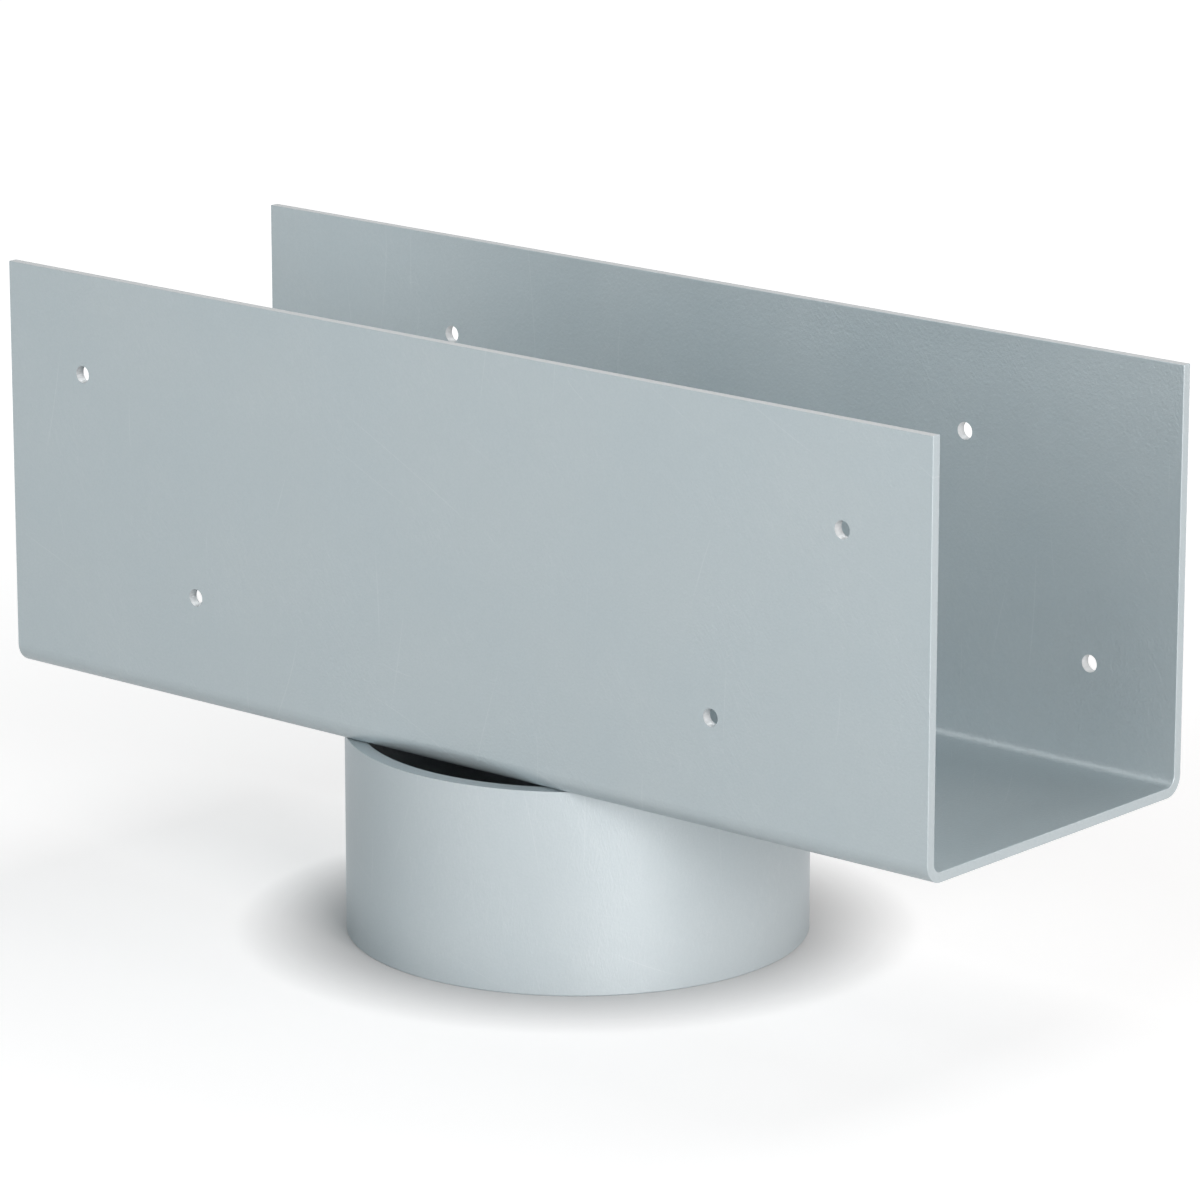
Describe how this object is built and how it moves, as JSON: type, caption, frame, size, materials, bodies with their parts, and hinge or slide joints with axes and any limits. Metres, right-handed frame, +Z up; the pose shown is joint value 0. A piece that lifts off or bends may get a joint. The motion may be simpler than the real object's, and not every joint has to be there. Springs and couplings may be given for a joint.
{
  "type": "column cap",
  "caption": "Galvanised column cap: a folded steel U saddle, with staggered nail holes, that seats a timber beam on a welded round sleeve for a steel column.",
  "frame": {"origin": "centre of the sleeve's foot", "axes": "+X along the beam, +Y across it towards the rear flange, +Z up, along the column's axis"},
  "size_m": [0.2922, 0.1142, 0.1549],
  "materials": {
    "galvanised_sheet": "satin zinc coating, pale bluish grey",
    "galvanised_tube": "satin zinc coating, pale bluish grey",
    "weld_metal": "rippled weld bead under zinc"
  },
  "bodies": {
    "root": {"saddle": "galvanised_sheet", "column_sleeve": "galvanised_tube", "weld_bead_right": "weld_metal", "weld_bead_left": "weld_metal"}
  },
  "joints": []
}
